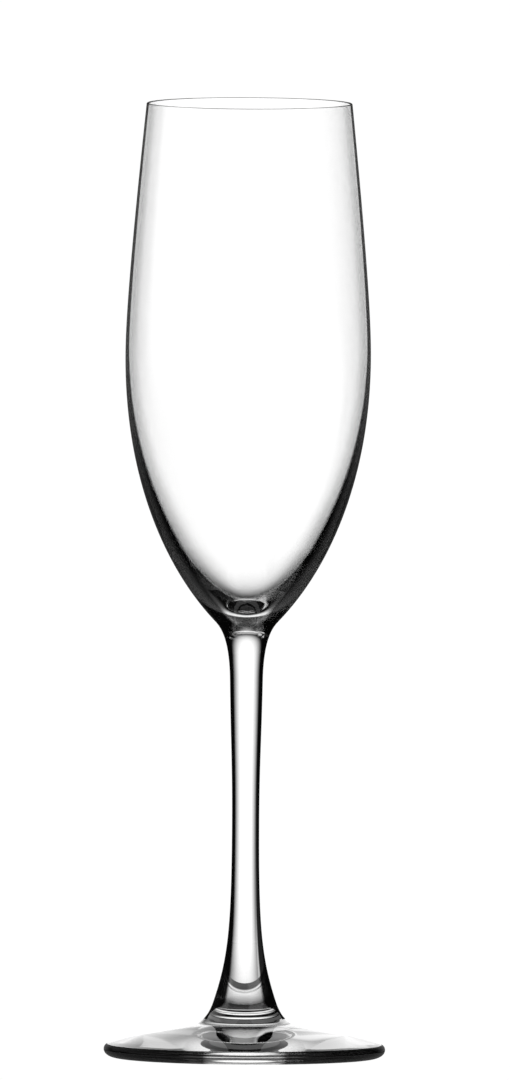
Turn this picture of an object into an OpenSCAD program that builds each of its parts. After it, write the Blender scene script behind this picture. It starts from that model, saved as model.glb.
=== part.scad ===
// Champagne flute in three pieces of glass, fused on flat faces:
// a blown bowl, a drawn stem and a pressed foot.
// Millimetres, +Z up, origin at the centre of the plane it stands on.

/* [Overall] */
// Height from the table to the top of the lip
total_height = 244.5; // [238:0.5:250]

/* [Bowl] */
// Outside diameter at the lip
rim_d = 52.7; // [50:0.1:56]
// How far the wall leans outward going down from the lip, in degrees
rim_lean = 5.8; // [4:0.1:7.5]
// Outside diameter at the widest part
belly_d = 62.8; // [61:0.1:66]
// Height of the widest part above the table
belly_z = 179.5; // [176:0.5:183]
// Wall thickness at the lip
rim_wall = 0.6; // [0.5:0.05:1.1]
// Wall thickness at the widest part
belly_wall = 0.9; // [0.7:0.05:1.3]
// Inside diameter low in the bowl, where the glass has grown thick
inner_low_d = 36.6; // [34:0.1:38]
// Height of that point
inner_low_z = 132.3; // [130:0.1:135]
// How far the inside leans inward there going down, in degrees
inner_low_lean = 29.8; // [24:0.1:34]
// Height of the lowest point inside the bowl
bowl_floor_z = 115.9; // [115:0.1:119]
// How pointed the inside of the bowl is: the reach of its round bottom
bowl_floor_reach = 7; // [4:0.5:9]
// Height of the face where the bowl is fused to the stem
bowl_joint_z = 112; // [111:0.5:113]
// Diameter of that face
bowl_joint_d = 16.7; // [15.5:0.1:18]

/* [Stem] */
// Diameter where the stem leaves the bowl's drawn neck
neck_d = 8.4; // [7.6:0.1:9.2]
// Height of that point
neck_z = 96.7; // [95:0.1:98]
// Smallest diameter of the stem
waist_d = 6.95; // [6:0.05:8]
// Height of the thinnest point
waist_z = 60.6; // [56:0.1:66]
// Diameter low on the stem, where it flares towards the foot
flare_d = 16.1; // [15:0.1:17]
// Height of that point
flare_z = 14.2; // [13.5:0.1:15]

/* [Foot] */
// Outside diameter of the foot
foot_d = 72; // [68:0.5:76]
// Height of the face where the foot is fused to the stem
foot_joint_z = 10; // [9.5:0.1:10.5]
// Diameter of that face
foot_joint_d = 20.8; // [20:0.1:21.6]
// Height of the foot's top surface at its edge
foot_edge_h = 3.4; // [2.8:0.1:4]
// Height at which the foot's rounded edge is widest
foot_bulge_z = 2.1; // [1.4:0.1:2.4]
// Outside diameter of the ring that the foot stands on
rest_outer_d = 66; // [62:0.5:67]
// Width of that ring
rest_ring_w = 2; // [1.5:0.5:5]
// Depth of the shallow hollow under the foot
hollow_depth = 0.8; // [0.3:0.1:2]

/* [Smoothness] */
// Straight steps along each curve of the outline
steps = 26; // [12:1:40]

/* [Hidden] */
$fn = 180;

// Lip: the wall ends in a round bead as thick as the wall
lip_r = rim_wall / 2;
lip_z = total_height - lip_r;

// A point on a cubic curve with two handles
function cubic(a, b, c, d, t) =
    pow(1 - t, 3) * a + 3 * pow(1 - t, 2) * t * b
    + 3 * (1 - t) * t * t * c + pow(t, 3) * d;

// The curve that leaves point a at angle aa and arrives at point b at angle ab,
// both measured from straight down, outward positive; ha and hb are the handles.
// The last point is left out, because the next curve starts there.
function run(a, aa, ha, b, ab, hb) = [
    for (i = [0 : steps - 1])
        cubic(a, a + ha * [sin(aa), -cos(aa)],
              b - hb * [sin(ab), -cos(ab)], b, i / steps)
];

function flip(v) = [for (i = [len(v) - 1 : -1 : 0]) v[i]];

// Stations of the outline, from the lip down to the table
p_lip = [rim_d / 2, lip_z];
p_belly = [belly_d / 2, belly_z];
p_bowl_joint = [bowl_joint_d / 2, bowl_joint_z];
p_neck = [neck_d / 2, neck_z];
p_waist = [waist_d / 2, waist_z];
p_flare = [flare_d / 2, flare_z];
p_foot_joint = [foot_joint_d / 2, foot_joint_z];
p_fillet = [foot_joint_d / 2 + 2.1, foot_joint_z - 1.4];
p_edge = [foot_d / 2 - 0.9, foot_edge_h];
p_bulge = [foot_d / 2, foot_bulge_z];

// Stations of the inside of the bowl
q_lip = [rim_d / 2 - rim_wall, lip_z];
q_belly = [belly_d / 2 - belly_wall, belly_z + 0.5];
q_low = [inner_low_d / 2, inner_low_z];
q_floor = [0, bowl_floor_z];

// Outside of the bowl, from the joint up to the lip
bowl_outside = flip(concat(
    run(p_lip, rim_lean, 46, p_belly, 0, 6.5),
    run(p_belly, 0, 31.5, p_bowl_joint, -43.5, 18),
    [p_bowl_joint]
));

// Half-round lip from the outside to the inside
bowl_lip = [
    for (i = [1 : 7])
        [rim_d / 2 - lip_r, lip_z] + lip_r * [cos(i * 22.5), sin(i * 22.5)]
];

// Inside of the bowl, from the lip down to its lowest point
bowl_inside = concat(
    run(q_lip, rim_lean, 44, q_belly, 0, 8),
    run(q_belly, 0, 22.8, q_low, -inner_low_lean, 11.8),
    run(q_low, -inner_low_lean, 7, q_floor, -90, bowl_floor_reach),
    [q_floor]
);

module bowl() {
    color([0.84, 0.90, 0.92, 0.45])
        rotate_extrude()
            polygon(concat([[0, bowl_joint_z]], bowl_outside, bowl_lip, bowl_inside));
}

// Outside of the stem, from the bowl's joint down to the foot's
stem_outside = concat(
    run(p_bowl_joint, -43.5, 2, p_neck, -1, 11.3),
    run(p_neck, -1, 15.7, p_waist, 0, 14.4),
    run(p_waist, 0, 27, p_flare, 18.5, 12),
    run(p_flare, 18.5, 0.6, p_foot_joint, 45.5, 2),
    [p_foot_joint]
);

module stem() {
    color([0.78, 0.86, 0.90, 0.6])
        rotate_extrude()
            polygon(concat([[0, foot_joint_z]], flip(stem_outside), [[0, bowl_joint_z]]));
}

// Top of the foot, from the joint out over the edge to the widest point
foot_top = concat(
    run(p_foot_joint, 45.5, 1.2, p_fillet, 76.5, 1),
    run(p_fillet, 76.5, 11, p_edge, 74, 12),
    run(p_edge, 74, 0.5, p_bulge, 0, 0.7)
);

// Under the edge, from the widest point round to the ring that it stands on
foot_round = [
    for (i = [0 : 12])
        [rest_outer_d / 2 + (foot_d - rest_outer_d) / 2 * cos(i * 7.5),
         foot_bulge_z * (1 - sin(i * 7.5))]
];

// Shallow hollow from the ring in to the centre
hollow_r = rest_outer_d / 2 - rest_ring_w;
foot_hollow = [
    for (i = [0 : 16])
        [hollow_r * (1 - i / 16),
         hollow_depth * pow(1 - pow(1 - i / 16, 2), 2)]
];

module foot() {
    color([0.82, 0.88, 0.90, 0.5])
        rotate_extrude()
            polygon(concat([[0, foot_joint_z]], foot_top, foot_round, foot_hollow));
}

bowl();
stem();
foot();
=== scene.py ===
import math

import bpy
import numpy as np
from mathutils import Matrix, Vector


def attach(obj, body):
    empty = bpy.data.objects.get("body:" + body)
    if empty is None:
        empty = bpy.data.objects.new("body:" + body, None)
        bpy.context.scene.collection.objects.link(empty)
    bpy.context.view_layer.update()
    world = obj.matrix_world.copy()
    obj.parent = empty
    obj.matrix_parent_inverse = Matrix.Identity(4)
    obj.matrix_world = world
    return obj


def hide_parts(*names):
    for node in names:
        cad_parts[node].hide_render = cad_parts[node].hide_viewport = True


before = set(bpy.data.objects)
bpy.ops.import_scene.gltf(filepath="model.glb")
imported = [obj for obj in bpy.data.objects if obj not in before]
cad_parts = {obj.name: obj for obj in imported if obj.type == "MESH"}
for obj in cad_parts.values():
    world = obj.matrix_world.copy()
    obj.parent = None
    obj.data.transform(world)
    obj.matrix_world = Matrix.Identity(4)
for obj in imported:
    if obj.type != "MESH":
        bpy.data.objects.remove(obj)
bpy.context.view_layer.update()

MM = 0.001
scene = bpy.context.scene

# ---------------------------------------------------------------- camera
ELEV = 3.2
LEAN = 0.32
FRAME_H = 1080 * 0.25577 * MM
FRAME_W, FRAME_HT = 510, 1080


def make_camera():
    data = bpy.data.cameras.new("camera")
    data.type = "ORTHO"
    data.ortho_scale = FRAME_H
    data.clip_start, data.clip_end = 0.05, 100.0
    cam = bpy.data.objects.new("camera", data)
    scene.collection.objects.link(cam)
    scene.camera = cam
    e, a = math.radians(ELEV), math.radians(LEAN)
    px = FRAME_H / FRAME_HT
    u, v = (244.3 - 255.0) * px, -(1057.5 - 540.0) * px
    x = u * math.cos(a) - v * math.sin(a)
    w = u * math.sin(a) + v * math.cos(a)
    centre = Vector((-x, 0, -w / math.cos(e)))
    back = Vector((0, -math.cos(e), math.sin(e)))
    cam.location = centre + back * 3.0
    cam.rotation_mode = "QUATERNION"
    cam.rotation_quaternion = (
        Matrix.Rotation(math.radians(90) - e, 4, "X") @ Matrix.Rotation(a, 4, "Z")
    ).to_quaternion()
    return cam


cam = make_camera()


# ---------------------------------------------------------------- node helpers
class Nodes:
    def __init__(self, tree):
        self.tree = tree
        tree.nodes.clear()

    def new(self, kind, **props):
        n = self.tree.nodes.new(kind)
        for k, v in props.items():
            setattr(n, k, v)
        return n

    def link(self, a, b):
        self.tree.links.new(a, b)

    def math(self, op, a, b=None, c=None, clamp=False):
        n = self.new("ShaderNodeMath", operation=op, use_clamp=clamp)
        for i, v in enumerate((a, b, c)):
            if v is None:
                continue
            if isinstance(v, (int, float)):
                n.inputs[i].default_value = v
            else:
                self.link(v, n.inputs[i])
        return n.outputs[0]

    def ramp(self, value, lo, hi, a=0.0, b=1.0):
        """a below lo, b above hi, smooth between."""
        n = self.new("ShaderNodeMapRange", interpolation_type="SMOOTHSTEP")
        self.link(value, n.inputs["Value"])
        n.inputs["From Min"].default_value = lo
        n.inputs["From Max"].default_value = hi
        n.inputs["To Min"].default_value = a
        n.inputs["To Max"].default_value = b
        return n.outputs["Result"]


# ---------------------------------------------------------------- studio
def window(nd, az, el, az0, el0, r0, r1, level):
    """A soft round light in the surroundings: full inside r0 degrees of (az0, el0), gone by r1. Azimuth 0 is behind the glass."""
    d = nd.math("SUBTRACT", az, math.radians(az0))
    d = nd.math("WRAP", d, math.pi, -math.pi)
    e = nd.math("SUBTRACT", el, math.radians(el0))
    r = nd.math("SQRT", nd.math("ADD", nd.math("MULTIPLY", d, d), nd.math("MULTIPLY", e, e)))
    return nd.ramp(r, math.radians(r0), math.radians(r1), level, 0.0)


# az0, el0, r0, r1, level: the light behind the glass; small ones that stand behind it for the other views, seen only
# straight through; and ones above them that lay a sheen on the foot, seen only in reflections
WINDOWS = [(0, 0, 11, 43, 1.23)]
SMALL = [(-90, -3, 14, 26, 1.15), (-48, -25, 14, 26, 1.12), (135, -16, 14, 26, 1.15)]
SHEEN = [(-90, 20, 20, 34, 0.8), (-48, 32, 18, 34, 0.8), (135, 25, 22, 38, 0.8)]
TOP_LIGHT = 0.45


def make_world():
    world = bpy.data.worlds.new("studio")
    scene.world = world
    world.use_nodes = True
    nd = Nodes(world.node_tree)
    tc = nd.new("ShaderNodeTexCoord")
    sep = nd.new("ShaderNodeSeparateXYZ")
    nd.link(tc.outputs["Generated"], sep.inputs[0])
    x, y, z = sep.outputs
    az = nd.math("ARCTAN2", x, y)
    el = nd.math("ARCSINE", z)
    total = None
    path = nd.new("ShaderNodeLightPath")
    straight = nd.math("LESS_THAN", path.outputs["Glossy Depth"], 0.5)
    mirrored = nd.math("SUBTRACT", 1.0, straight)
    for p in WINDOWS + SMALL + SHEEN:
        v = window(nd, az, el, *p)
        if p in SMALL:
            v = nd.math("MULTIPLY", v, straight)
        if p in SHEEN:
            v = nd.math("MULTIPLY", v, mirrored)
        total = v if total is None else nd.math("MAXIMUM", total, v)
    total = nd.math("ADD", total, nd.ramp(el, math.radians(50), math.radians(70), 0.0, TOP_LIGHT))
    total = nd.math("ADD", total, 0.004)
    seen = nd.new("ShaderNodeMix", data_type="FLOAT")
    nd.link(path.outputs["Is Camera Ray"], seen.inputs[0])
    nd.link(total, seen.inputs[2])
    seen.inputs[3].default_value = 1.0
    bg = nd.new("ShaderNodeBackground")
    bg.inputs["Color"].default_value = (1, 1, 1, 1)
    nd.link(seen.outputs[0], bg.inputs["Strength"])
    out = nd.new("ShaderNodeOutputWorld")
    nd.link(bg.outputs[0], out.inputs["Surface"])


make_world()


def make_floor():
    size = 40.0
    m = bpy.data.meshes.new("floor")
    m.from_pydata(
        [(-size, -size, 0), (size, -size, 0), (size, size, 0), (-size, size, 0)], [], [(0, 1, 2, 3)]
    )
    o = bpy.data.objects.new("floor", m)
    o.location.z = -0.0002
    scene.collection.objects.link(o)
    mat = bpy.data.materials.new("floor_pale")
    mat.use_nodes = True
    nd = Nodes(mat.node_tree)
    em = nd.new("ShaderNodeEmission")
    em.inputs["Color"].default_value = (1, 1, 1, 1)
    em.inputs["Strength"].default_value = 1.02
    out = nd.new("ShaderNodeOutputMaterial")
    nd.link(em.outputs[0], out.inputs["Surface"])
    m.materials.append(mat)
    o.visible_diffuse = False
    o.visible_glossy = False
    o.visible_transmission = False
    o.visible_shadow = False


make_floor()


def make_table_glow():
    """A painted glow standing in for the light that the table under and around the foot sends up into the glass, as
    rings
    of brightness: dim under the middle of the foot as painted contact shadow, brightest from 30 to 44 mm, dim again
    past 45.5 mm. Only the glass sees it."""
    rings = [(0, 0.03), (14, 0.03), (22, 0.28), (30, 0.6), (35, 0.85), (44, 0.85), (45.5, 0.08), (53, 0.08)]
    verts, faces = [(0, 0, 0)], []
    n = 96
    for k in range(n):
        a = 2 * math.pi * k / n
        verts.append((0.053 * math.cos(a), 0.053 * math.sin(a), 0))
        faces.append((0, k + 1, (k + 1) % n + 1))
    m = bpy.data.meshes.new("table_glow")
    m.from_pydata(verts, [], faces)
    o = bpy.data.objects.new("table_glow", m)
    o.location.z = -0.00015
    scene.collection.objects.link(o)
    mat = bpy.data.materials.new("table_glow")
    mat.use_nodes = True
    nd = Nodes(mat.node_tree)
    tc = nd.new("ShaderNodeTexCoord")
    ln = nd.new("ShaderNodeVectorMath", operation="LENGTH")
    nd.link(tc.outputs["Object"], ln.inputs[0])
    ramp = nd.new("ShaderNodeValToRGB")
    nd.link(nd.math("DIVIDE", ln.outputs["Value"], 0.053), ramp.inputs[0])
    cr = ramp.color_ramp
    for i, (r, v) in enumerate(rings):
        st = cr.elements[i] if i < 2 else cr.elements.new(r / 53.0)
        st.position = r / 53.0
        st.color = (v, v, v, 1)
    em = nd.new("ShaderNodeEmission")
    nd.link(ramp.outputs[0], em.inputs["Color"])
    out = nd.new("ShaderNodeOutputMaterial")
    nd.link(em.outputs[0], out.inputs["Surface"])
    m.materials.append(mat)
    o.visible_camera = False
    o.visible_diffuse = False
    o.visible_shadow = False


make_table_glow()

scene.view_settings.view_transform = "Standard"
scene.view_settings.look = "None"
scene.cycles.max_bounces = 24
scene.cycles.transmission_bounces = 24
scene.cycles.glossy_bounces = 16
scene.cycles.transparent_max_bounces = 32
scene.cycles.blur_glossy = 0.0
scene.cycles.use_denoising = True

# ---------------------------------------------------------------- shape of the glass, in mm
RIM_D, RIM_LEAN, BELLY_D, BELLY_Z = 52.7, 5.8, 62.8, 179.5
TOTAL_H, RIM_WALL, BELLY_WALL = 244.5, 0.6, 0.9
LOW_D, LOW_Z, LOW_LEAN = 36.6, 132.3, 29.8
FLOOR_Z, FLOOR_REACH = 115.9, 7.0
BOWL_JOINT_Z, BOWL_JOINT_D = 112.0, 16.7
NECK_D, NECK_Z, WAIST_D, WAIST_Z = 8.4, 96.7, 6.95, 60.6
FLARE_D, FLARE_Z = 16.1, 14.2
FOOT_D, FOOT_JOINT_Z, FOOT_JOINT_D = 72.0, 10.0, 20.8
FOOT_EDGE_H, FOOT_BULGE_Z = 3.4, 2.1
REST_OUTER_D, REST_RING_W, HOLLOW = 66.0, 2.0, 0.8

LIP_R = RIM_WALL / 2
LIP_Z = TOTAL_H - LIP_R
SEG = 192


def cubic(a, b, c, d, t):
    t = t[:, None]
    return (1 - t) ** 3 * a + 3 * (1 - t) ** 2 * t * b + 3 * (1 - t) * t * t * c + t**3 * d


def slope(a, b, c, d, t):
    t = t[:, None]
    return 3 * (1 - t) ** 2 * (b - a) + 6 * (1 - t) * t * (c - b) + 3 * t * t * (d - c)


def run(a, aa, ha, b, ab, hb, n):
    """Points and tangents of the curve that leaves a at angle aa and reaches b at angle ab, from straight down, outward positive."""
    a, b = np.array(a, float), np.array(b, float)
    aa, ab = math.radians(aa), math.radians(ab)
    p = (
        a,
        a + ha * np.array([math.sin(aa), -math.cos(aa)]),
        b - hb * np.array([math.sin(ab), -math.cos(ab)]),
        b,
    )
    t = np.linspace(0, 1, n + 1)
    return cubic(*p, t), slope(*p, t)


def arc(cx, cz, rx, rz, a0, a1, n):
    t = np.radians(np.linspace(a0, a1, n + 1))
    s = math.copysign(1, a1 - a0)
    return (
        np.stack([cx + rx * np.cos(t), cz + rz * np.sin(t)], 1),
        s * np.stack([-rx * np.sin(t), rz * np.cos(t)], 1),
    )


def join(*runs):
    """One smooth section from runs that follow each other."""
    pts = [runs[0][0]] + [r[0][1:] for r in runs[1:]]
    tan = [runs[0][1]] + [r[1][1:] for r in runs[1:]]
    return np.concatenate(pts), np.concatenate(tan)


def flip(section):
    return section[0][::-1], -section[1][::-1]


def flat(r0, r1, z, n=1):
    r = np.linspace(r0, r1, n + 1)
    s = math.copysign(1, r1 - r0)
    return np.stack([r, np.full(n + 1, z)], 1), np.stack([np.full(n + 1, s), np.zeros(n + 1)], 1)


def lathe(name, sections, mats):
    """A closed turned solid. Sections are (points, tangents, material index) in mm, in order along one outline that
    starts and ends on the axis, with the glass on the left of the direction of travel seen in the (r, z) plane."""
    rings, edges = [], []
    for pts, tan, mat in sections:
        tan = tan / np.linalg.norm(tan, axis=1)[:, None]
        nor = np.stack([tan[:, 1], -tan[:, 0]], 1)
        for i, p in enumerate(pts):
            if i == 0 and rings and np.allclose(rings[-1], p, atol=1e-6):
                first = len(rings) - 1
            else:
                rings.append(np.array(p, float))
                first = len(rings) - 1
            if i > 0:
                edges.append((prev, first, nor[i - 1], nor[i], mat))
            prev = first
    ang = np.arange(SEG) * 2 * math.pi / SEG
    ca, sa = np.cos(ang), np.sin(ang)
    verts, index = [], []
    for r, z in rings:
        if r < 1e-6:
            index.append((len(verts), 1))
            verts.append((0.0, 0.0, z))
        else:
            index.append((len(verts), SEG))
            verts.extend(zip(r * ca, r * sa, [z] * SEG))
    faces, normals, fmat = [], [], []

    def nrm(n, j):
        return (n[0] * ca[j], n[0] * sa[j], n[1])

    for a, b, na, nb, mat in edges:
        (ia, ka), (ib, kb) = index[a], index[b]
        for j in range(SEG):
            k = (j + 1) % SEG
            if ka == 1 and kb == 1:
                continue
            if ka == 1:
                faces.append((ia, ib + k, ib + j))
                normals += [nrm(na * [0, 1], j), nrm(nb, k), nrm(nb, j)]
            elif kb == 1:
                faces.append((ia + j, ia + k, ib))
                normals += [nrm(na, j), nrm(na, k), nrm(nb * [0, 1], j)]
            else:
                faces.append((ia + j, ia + k, ib + k, ib + j))
                normals += [nrm(na, j), nrm(na, k), nrm(nb, k), nrm(nb, j)]
            fmat.append(mat)
    mesh = bpy.data.meshes.new(name)
    mesh.from_pydata([(x * MM, y * MM, z * MM) for x, y, z in verts], [], faces)
    mesh.validate()
    for m in mats:
        mesh.materials.append(m)
    mesh.polygons.foreach_set("material_index", fmat)
    mesh.polygons.foreach_set("use_smooth", [True] * len(faces))
    lens = np.linalg.norm(np.array(normals), axis=1)
    mesh.normals_split_custom_set((np.array(normals) / lens[:, None]).tolist())
    mesh.update()
    o = bpy.data.objects.new(name, mesh)
    scene.collection.objects.link(o)
    return o


# ---------------------------------------------------------------- glass
def glass(name, tint, ior, edge=None, depth=0.95, width=0.28, soft=0.0, level=False):
    """Clear glass. edge is a list of (height in mm, cosine): where the surface turns away from the eye past that
    cosine it is mixed toward a near-black diffuse, a painted dark edge standing in for the dark rims clear glass shows
    in front of a bright field."""
    mat = bpy.data.materials.new(name)
    mat.use_nodes = True
    nd = Nodes(mat.node_tree)
    p = nd.new("ShaderNodeBsdfPrincipled")
    p.inputs["Base Color"].default_value = (*tint, 1)
    p.inputs["Roughness"].default_value = 0.0
    p.inputs["IOR"].default_value = ior
    p.inputs["Transmission Weight"].default_value = 1.0
    out = nd.new("ShaderNodeOutputMaterial")
    if not edge:
        nd.link(p.outputs[0], out.inputs["Surface"])
        return mat
    tc = nd.new("ShaderNodeTexCoord")
    sep = nd.new("ShaderNodeSeparateXYZ")
    nd.link(tc.outputs["Object"], sep.inputs[0])
    ramp = nd.new("ShaderNodeValToRGB")
    nd.link(nd.math("DIVIDE", sep.outputs[2], TOTAL_H * MM), ramp.inputs[0])
    cr = ramp.color_ramp
    for i, (z, c) in enumerate(edge):
        st = cr.elements[i] if i < 2 else cr.elements.new(z / TOTAL_H)
        st.position = z / TOTAL_H
        st.color = (c, c, c, 1)
    lw = nd.new("ShaderNodeLayerWeight")
    lw.inputs["Blend"].default_value = 0.5
    if level:
        # how far round the rim turns away, whatever its own rounding, for the painted dark edge
        flat_dir = nd.new("ShaderNodeVectorMath", operation="MULTIPLY")
        nd.link(tc.outputs["Object"], flat_dir.inputs[0])
        flat_dir.inputs[1].default_value = (1, 1, 0)
        unit = nd.new("ShaderNodeVectorMath", operation="NORMALIZE")
        nd.link(flat_dir.outputs[0], unit.inputs[0])
        nd.link(unit.outputs[0], lw.inputs["Normal"])
    cosine = nd.math("SUBTRACT", 1.0, lw.outputs["Facing"])
    c = ramp.outputs[0]
    t = nd.math("DIVIDE", nd.math("SUBTRACT", c, cosine), nd.math("MULTIPLY", c, width))
    k = nd.ramp(t, -0.5, 0.5, 0.0, depth)
    # a wider, weaker band of painted shade on the facing side of the painted dark edge
    if soft:
        k = nd.math("MAXIMUM", k, nd.ramp(nd.math("SUBTRACT", cosine, c), 0.0, 0.24, soft, 0.0))
    # painted shade: a near-black diffuse mixed in by how far the surface turns from the eye
    dark = nd.new("ShaderNodeBsdfDiffuse")
    dark.inputs["Color"].default_value = (0.01, 0.01, 0.01, 1)
    mix = nd.new("ShaderNodeMixShader")
    nd.link(k, mix.inputs[0])
    nd.link(p.outputs[0], mix.inputs[1])
    nd.link(dark.outputs[0], mix.inputs[2])
    nd.link(mix.outputs[0], out.inputs["Surface"])
    return mat


def fused(name):
    """The face where two pieces are fused: one glass runs on into the next, so nothing bends or reflects there."""
    mat = bpy.data.materials.new(name)
    mat.use_nodes = True
    nd = Nodes(mat.node_tree)
    t = nd.new("ShaderNodeBsdfTransparent")
    out = nd.new("ShaderNodeOutputMaterial")
    nd.link(t.outputs[0], out.inputs["Surface"])
    return mat


IOR = 1.52
TINT = (1.0, 1.0, 1.0)
# painted dark edges: per height in mm, the cosine past which bowl, stem and foot edge are mixed toward near-black as
# painted shade
BOWL_PAINTED_SHADE = [(112, 0.6), (115.5, 0.63), (119, 0.6), (123, 0.58), (130, 0.56), (142.6, 0.47), (155, 0.38), (168, 0.30), (181, 0.245), (232, 0.22)]
bowl_glass = glass("clear_bowl", TINT, IOR, BOWL_PAINTED_SHADE, 0.95, 0.18, 0.3)
bowl_inside = glass("clear_bowl_inside", TINT, IOR)
stem_glass = glass("clear_stem", TINT, IOR, [(12, 0.3), (13.6, 0.76), (20, 0.77), (32, 0.7), (45, 0.65), (90, 0.65), (100, 0.62), (112, 0.6)], 0.985, 0.12)
foot_glass = glass("clear_foot", TINT, IOR)
foot_edge = glass("clear_foot_edge", TINT, IOR, [(0, 0.96), (4, 0.96)], 0.88, 0.025, level=True)
weld = fused("fused_face")

# stations
p_lip = (RIM_D / 2, LIP_Z)
p_belly = (BELLY_D / 2, BELLY_Z)
p_bowl_joint = (BOWL_JOINT_D / 2, BOWL_JOINT_Z)
p_neck = (NECK_D / 2, NECK_Z)
p_waist = (WAIST_D / 2, WAIST_Z)
p_flare = (FLARE_D / 2, FLARE_Z)
p_foot_joint = (FOOT_JOINT_D / 2, FOOT_JOINT_Z)
p_fillet = (FOOT_JOINT_D / 2 + 2.1, FOOT_JOINT_Z - 1.4)
p_edge = (FOOT_D / 2 - 0.9, FOOT_EDGE_H)
p_bulge = (FOOT_D / 2, FOOT_BULGE_Z)
q_lip = (RIM_D / 2 - RIM_WALL, LIP_Z)
q_belly = (BELLY_D / 2 - BELLY_WALL, BELLY_Z + 0.5)
q_low = (LOW_D / 2, LOW_Z)
q_floor = (0.0, FLOOR_Z)


def bowl():
    outside = flip(
        join(
            run(p_lip, RIM_LEAN, 46, p_belly, 0, 6.5, 60),
            run(p_belly, 0, 31.5, p_bowl_joint, -43.5, 18, 100),
        )
    )
    lip = arc(RIM_D / 2 - LIP_R, LIP_Z, LIP_R, LIP_R, 0, 180, 12)
    inside = join(
        run(q_lip, RIM_LEAN, 44, q_belly, 0, 8, 60),
        run(q_belly, 0, 22.8, q_low, -LOW_LEAN, 11.8, 80),
        run(q_low, -LOW_LEAN, 7.0, q_floor, -90, FLOOR_REACH, 60),
    )
    cap = flat(0, p_bowl_joint[0], BOWL_JOINT_Z)
    return lathe(
        "bowl_blown",
        [(*cap, 1), (*outside, 0), (*lip, 0), (*inside, 2)],
        [bowl_glass, weld, bowl_inside],
    )


def stem():
    side = flip(
        join(
            run(p_bowl_joint, -43.5, 2, p_neck, -1, 11.3, 60),
            run(p_neck, -1, 15.7, p_waist, 0, 14.4, 50),
            run(p_waist, 0, 27, p_flare, 18.5, 12, 60),
            run(p_flare, 18.5, 0.6, p_foot_joint, 45.5, 2, 24),
        )
    )
    low = flat(0, p_foot_joint[0], FOOT_JOINT_Z)
    high = flat(p_bowl_joint[0], 0, BOWL_JOINT_Z)
    return lathe("stem_drawn", [(*low, 1), (*side, 0), (*high, 1)], [stem_glass, weld])


def foot():
    r0 = REST_OUTER_D / 2 - REST_RING_W
    t = np.linspace(0, 1, 25)
    under = (
        np.stack([r0 * t, HOLLOW * (1 - t**2) ** 2], 1),
        np.stack([np.full(25, r0), HOLLOW * 2 * (1 - t**2) * (-2 * t)], 1),
    )
    ring = flat(r0, REST_OUTER_D / 2, 0.0, 2)
    rnd = arc(
        REST_OUTER_D / 2, FOOT_BULGE_Z, (FOOT_D - REST_OUTER_D) / 2, FOOT_BULGE_Z, -90, 0, 20
    )
    top = flip(
        join(
            run(p_foot_joint, 45.5, 1.2, p_fillet, 76.5, 1, 16),
            run(p_fillet, 76.5, 11, p_edge, 74, 12, 60),
        )
    )
    edge = join(rnd, flip(run(p_edge, 74, 0.5, p_bulge, 0, 0.7, 14)))
    cap = flat(p_foot_joint[0], 0, FOOT_JOINT_Z)
    return lathe(
        "foot_pressed",
        [(*join(under, ring), 0), (*edge, 2), (*top, 0), (*cap, 1)],
        [foot_glass, weld, foot_edge],
    )


for make, node, slot in (
    (bowl, "bowl", "bowl_glass"),
    (stem, "stem", "stem_glass"),
    (foot, "foot", "foot_glass"),
):
    o = make()
    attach(o, "root")
    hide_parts(node)
